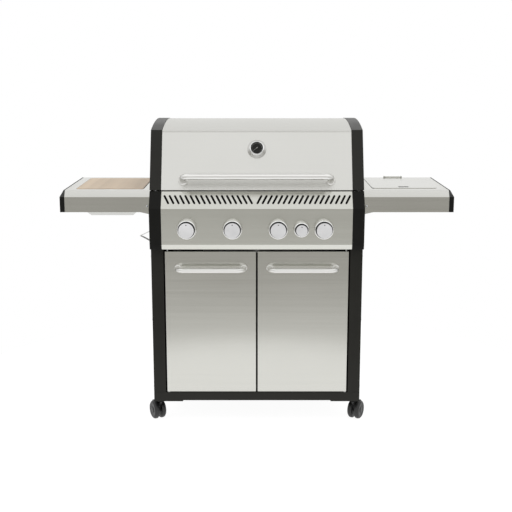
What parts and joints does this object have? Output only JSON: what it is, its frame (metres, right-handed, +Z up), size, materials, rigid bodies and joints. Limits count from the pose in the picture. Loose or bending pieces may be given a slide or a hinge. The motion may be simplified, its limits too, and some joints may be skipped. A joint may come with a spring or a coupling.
{
  "type": "gas barbecue grill",
  "caption": "Free-standing gas barbecue grill on a wheeled cabinet, with a domed hood, a knobbed control panel, a cutting-board shelf, a lidded side burner and two doors.",
  "frame": {"origin": "on the ground, under the centre of the overall box", "axes": "+X to the grill's right as seen from the front, +Z up, and the grill faces -Y"},
  "size_m": [1.418, 0.583, 1.1209],
  "materials": {
    "brushed_steel": "brushed, satin",
    "bright_steel": "polished",
    "black_paint": "fine-textured powder coat",
    "grey_paint": "galvanised, satin",
    "knob_silver": "satin metallised",
    "iron": "matt enamel",
    "brass": "satin",
    "bamboo": "oiled, satin",
    "black_plastic": "moulded, satin"
  },
  "bodies": {
    "cart": {"base_tray": "black_paint", "side_panel_left": "black_paint", "side_panel_right": "black_paint", "rear_panel": "black_paint", "panel_cap_left": "black_paint", "panel_cap_right": "black_paint", "control_panel": "brushed_steel", "shelf_left": "brushed_steel", "shelf_right": "brushed_steel", "board_tray": "brushed_steel", "bottle_opener": "brushed_steel", "warming_rack": "bright_steel", "burner_pan": "grey_paint", "burner_1": "grey_paint", "burner_2": "grey_paint", "burner_3": "grey_paint", "burner_4": "grey_paint", "firebox": "iron", "grate_left": "iron", "grate_right": "iron", "pan_support": "iron", "flame_tamer_1": "iron", "flame_tamer_2": "iron", "flame_tamer_3": "iron", "flame_tamer_4": "iron", "gas_manifold": "brass", "side_burner": "brass", "shelf_cap_left": "black_plastic", "shelf_cap_right": "black_plastic"},
    "lid": {"lid_shell": "brushed_steel", "lid_cap_left": "black_paint", "lid_cap_right": "black_paint", "lid_handle": "brushed_steel", "thermometer": "bright_steel"},
    "left_door": {"door_left": "brushed_steel", "door_handle_left": "bright_steel"},
    "right_door": {"door_right": "brushed_steel", "door_handle_right": "bright_steel"},
    "grease_drawer": {"grease_tray": "grey_paint"},
    "board": {"cutting_board": "bamboo"},
    "burner_cover": {"side_burner_lid": "brushed_steel"},
    "valve_1": {"valve_stem_1": "brass"},
    "control_1": {"knob_1": "knob_silver"},
    "valve_2": {"valve_stem_2": "brass"},
    "control_2": {"knob_2": "knob_silver"},
    "valve_3": {"valve_stem_3": "brass"},
    "control_3": {"knob_3": "knob_silver"},
    "valve_4": {"valve_stem_4": "brass"},
    "control_4": {"knob_4": "knob_silver"},
    "valve_5": {"valve_stem_5": "brass"},
    "control_5": {"knob_5": "knob_silver"},
    "caster_front_left": {"caster_fork_front_left": "black_plastic"},
    "wheels_front_left": {"caster_wheels_front_left": "black_plastic"},
    "caster_front_right": {"caster_fork_front_right": "black_plastic"},
    "wheels_front_right": {"caster_wheels_front_right": "black_plastic"},
    "caster_rear_left": {"caster_fork_rear_left": "black_plastic"},
    "wheels_rear_left": {"caster_wheels_rear_left": "black_plastic"},
    "caster_rear_right": {"caster_fork_rear_right": "black_plastic"},
    "wheels_rear_right": {"caster_wheels_rear_right": "black_plastic"}
  },
  "joints": [
    {"name": "lid_hinge", "type": "hinge", "parent": "cart", "child": "lid", "pos_m": [0, 0.2565, 0.9005], "axis": [-1, 0, 0], "range_deg": [0, 75]},
    {"name": "left_door_hinge", "type": "hinge", "parent": "cart", "child": "left_door", "pos_m": [-0.326, -0.1965, 0.1255], "axis": [0, 0, -1], "range_deg": [0, 105]},
    {"name": "right_door_hinge", "type": "hinge", "parent": "cart", "child": "right_door", "pos_m": [0.326, -0.1965, 0.1255], "axis": [0, 0, 1], "range_deg": [0, 105]},
    {"name": "grease_drawer_slide", "type": "slide", "parent": "cart", "child": "grease_drawer", "axis": [0, 1, 0], "range_m": [0, 0.3]},
    {"name": "board_lift", "type": "slide", "parent": "cart", "child": "board", "axis": [0, 0, 1], "range_m": [0, 0.15]},
    {"name": "burner_cover_hinge", "type": "hinge", "parent": "cart", "child": "burner_cover", "pos_m": [0.55, 0.2395, 0.8791], "axis": [-1, 0, 0], "range_deg": [0, 95]},
    {"name": "knob_push_1", "type": "slide", "parent": "cart", "child": "valve_1", "axis": [0, 1, 0], "range_m": [0, 0.003], "stiffness_N_per_m": 600},
    {"name": "knob_turn_1", "type": "hinge", "parent": "valve_1", "child": "control_1", "pos_m": [-0.25, -0.253, 0.752], "axis": [0, -1, 0], "range_deg": [0, 180]},
    {"name": "knob_push_2", "type": "slide", "parent": "cart", "child": "valve_2", "axis": [0, 1, 0], "range_m": [0, 0.003], "stiffness_N_per_m": 600},
    {"name": "knob_turn_2", "type": "hinge", "parent": "valve_2", "child": "control_2", "pos_m": [-0.087, -0.253, 0.752], "axis": [0, -1, 0], "range_deg": [0, 180]},
    {"name": "knob_push_3", "type": "slide", "parent": "cart", "child": "valve_3", "axis": [0, 1, 0], "range_m": [0, 0.003], "stiffness_N_per_m": 600},
    {"name": "knob_turn_3", "type": "hinge", "parent": "valve_3", "child": "control_3", "pos_m": [0.076, -0.253, 0.752], "axis": [0, -1, 0], "range_deg": [0, 180]},
    {"name": "knob_push_4", "type": "slide", "parent": "cart", "child": "valve_4", "axis": [0, 1, 0], "range_m": [0, 0.003], "stiffness_N_per_m": 600},
    {"name": "knob_turn_4", "type": "hinge", "parent": "valve_4", "child": "control_4", "pos_m": [0.159, -0.253, 0.752], "axis": [0, -1, 0], "range_deg": [0, 180]},
    {"name": "knob_push_5", "type": "slide", "parent": "cart", "child": "valve_5", "axis": [0, 1, 0], "range_m": [0, 0.003], "stiffness_N_per_m": 600},
    {"name": "knob_turn_5", "type": "hinge", "parent": "valve_5", "child": "control_5", "pos_m": [0.239, -0.253, 0.752], "axis": [0, -1, 0], "range_deg": [0, 180]},
    {"name": "swivel_front_left", "type": "hinge", "parent": "cart", "child": "caster_front_left", "pos_m": [-0.3695, -0.1645, 0.08], "axis": [0, 0, 1], "continuous": true},
    {"name": "roll_front_left", "type": "hinge", "parent": "caster_front_left", "child": "wheels_front_left", "pos_m": [-0.37858, -0.14668, 0.035], "axis": [0.891, 0.454, 0], "continuous": true},
    {"name": "swivel_front_right", "type": "hinge", "parent": "cart", "child": "caster_front_right", "pos_m": [0.3695, -0.1645, 0.08], "axis": [0, 0, 1], "continuous": true},
    {"name": "roll_front_right", "type": "hinge", "parent": "caster_front_right", "child": "wheels_front_right", "pos_m": [0.37858, -0.14668, 0.035], "axis": [0.891, -0.454, 0], "continuous": true},
    {"name": "swivel_rear_left", "type": "hinge", "parent": "cart", "child": "caster_rear_left", "pos_m": [-0.3695, 0.2335, 0.08], "axis": [0, 0, 1], "continuous": true},
    {"name": "roll_rear_left", "type": "hinge", "parent": "caster_rear_left", "child": "wheels_rear_left", "pos_m": [-0.36042, 0.21568, 0.035], "axis": [-0.891, -0.454, 0], "continuous": true},
    {"name": "swivel_rear_right", "type": "hinge", "parent": "cart", "child": "caster_rear_right", "pos_m": [0.3695, 0.2335, 0.08], "axis": [0, 0, 1], "continuous": true},
    {"name": "roll_rear_right", "type": "hinge", "parent": "caster_rear_right", "child": "wheels_rear_right", "pos_m": [0.36042, 0.21568, 0.035], "axis": [-0.891, 0.454, 0], "continuous": true}
  ]
}
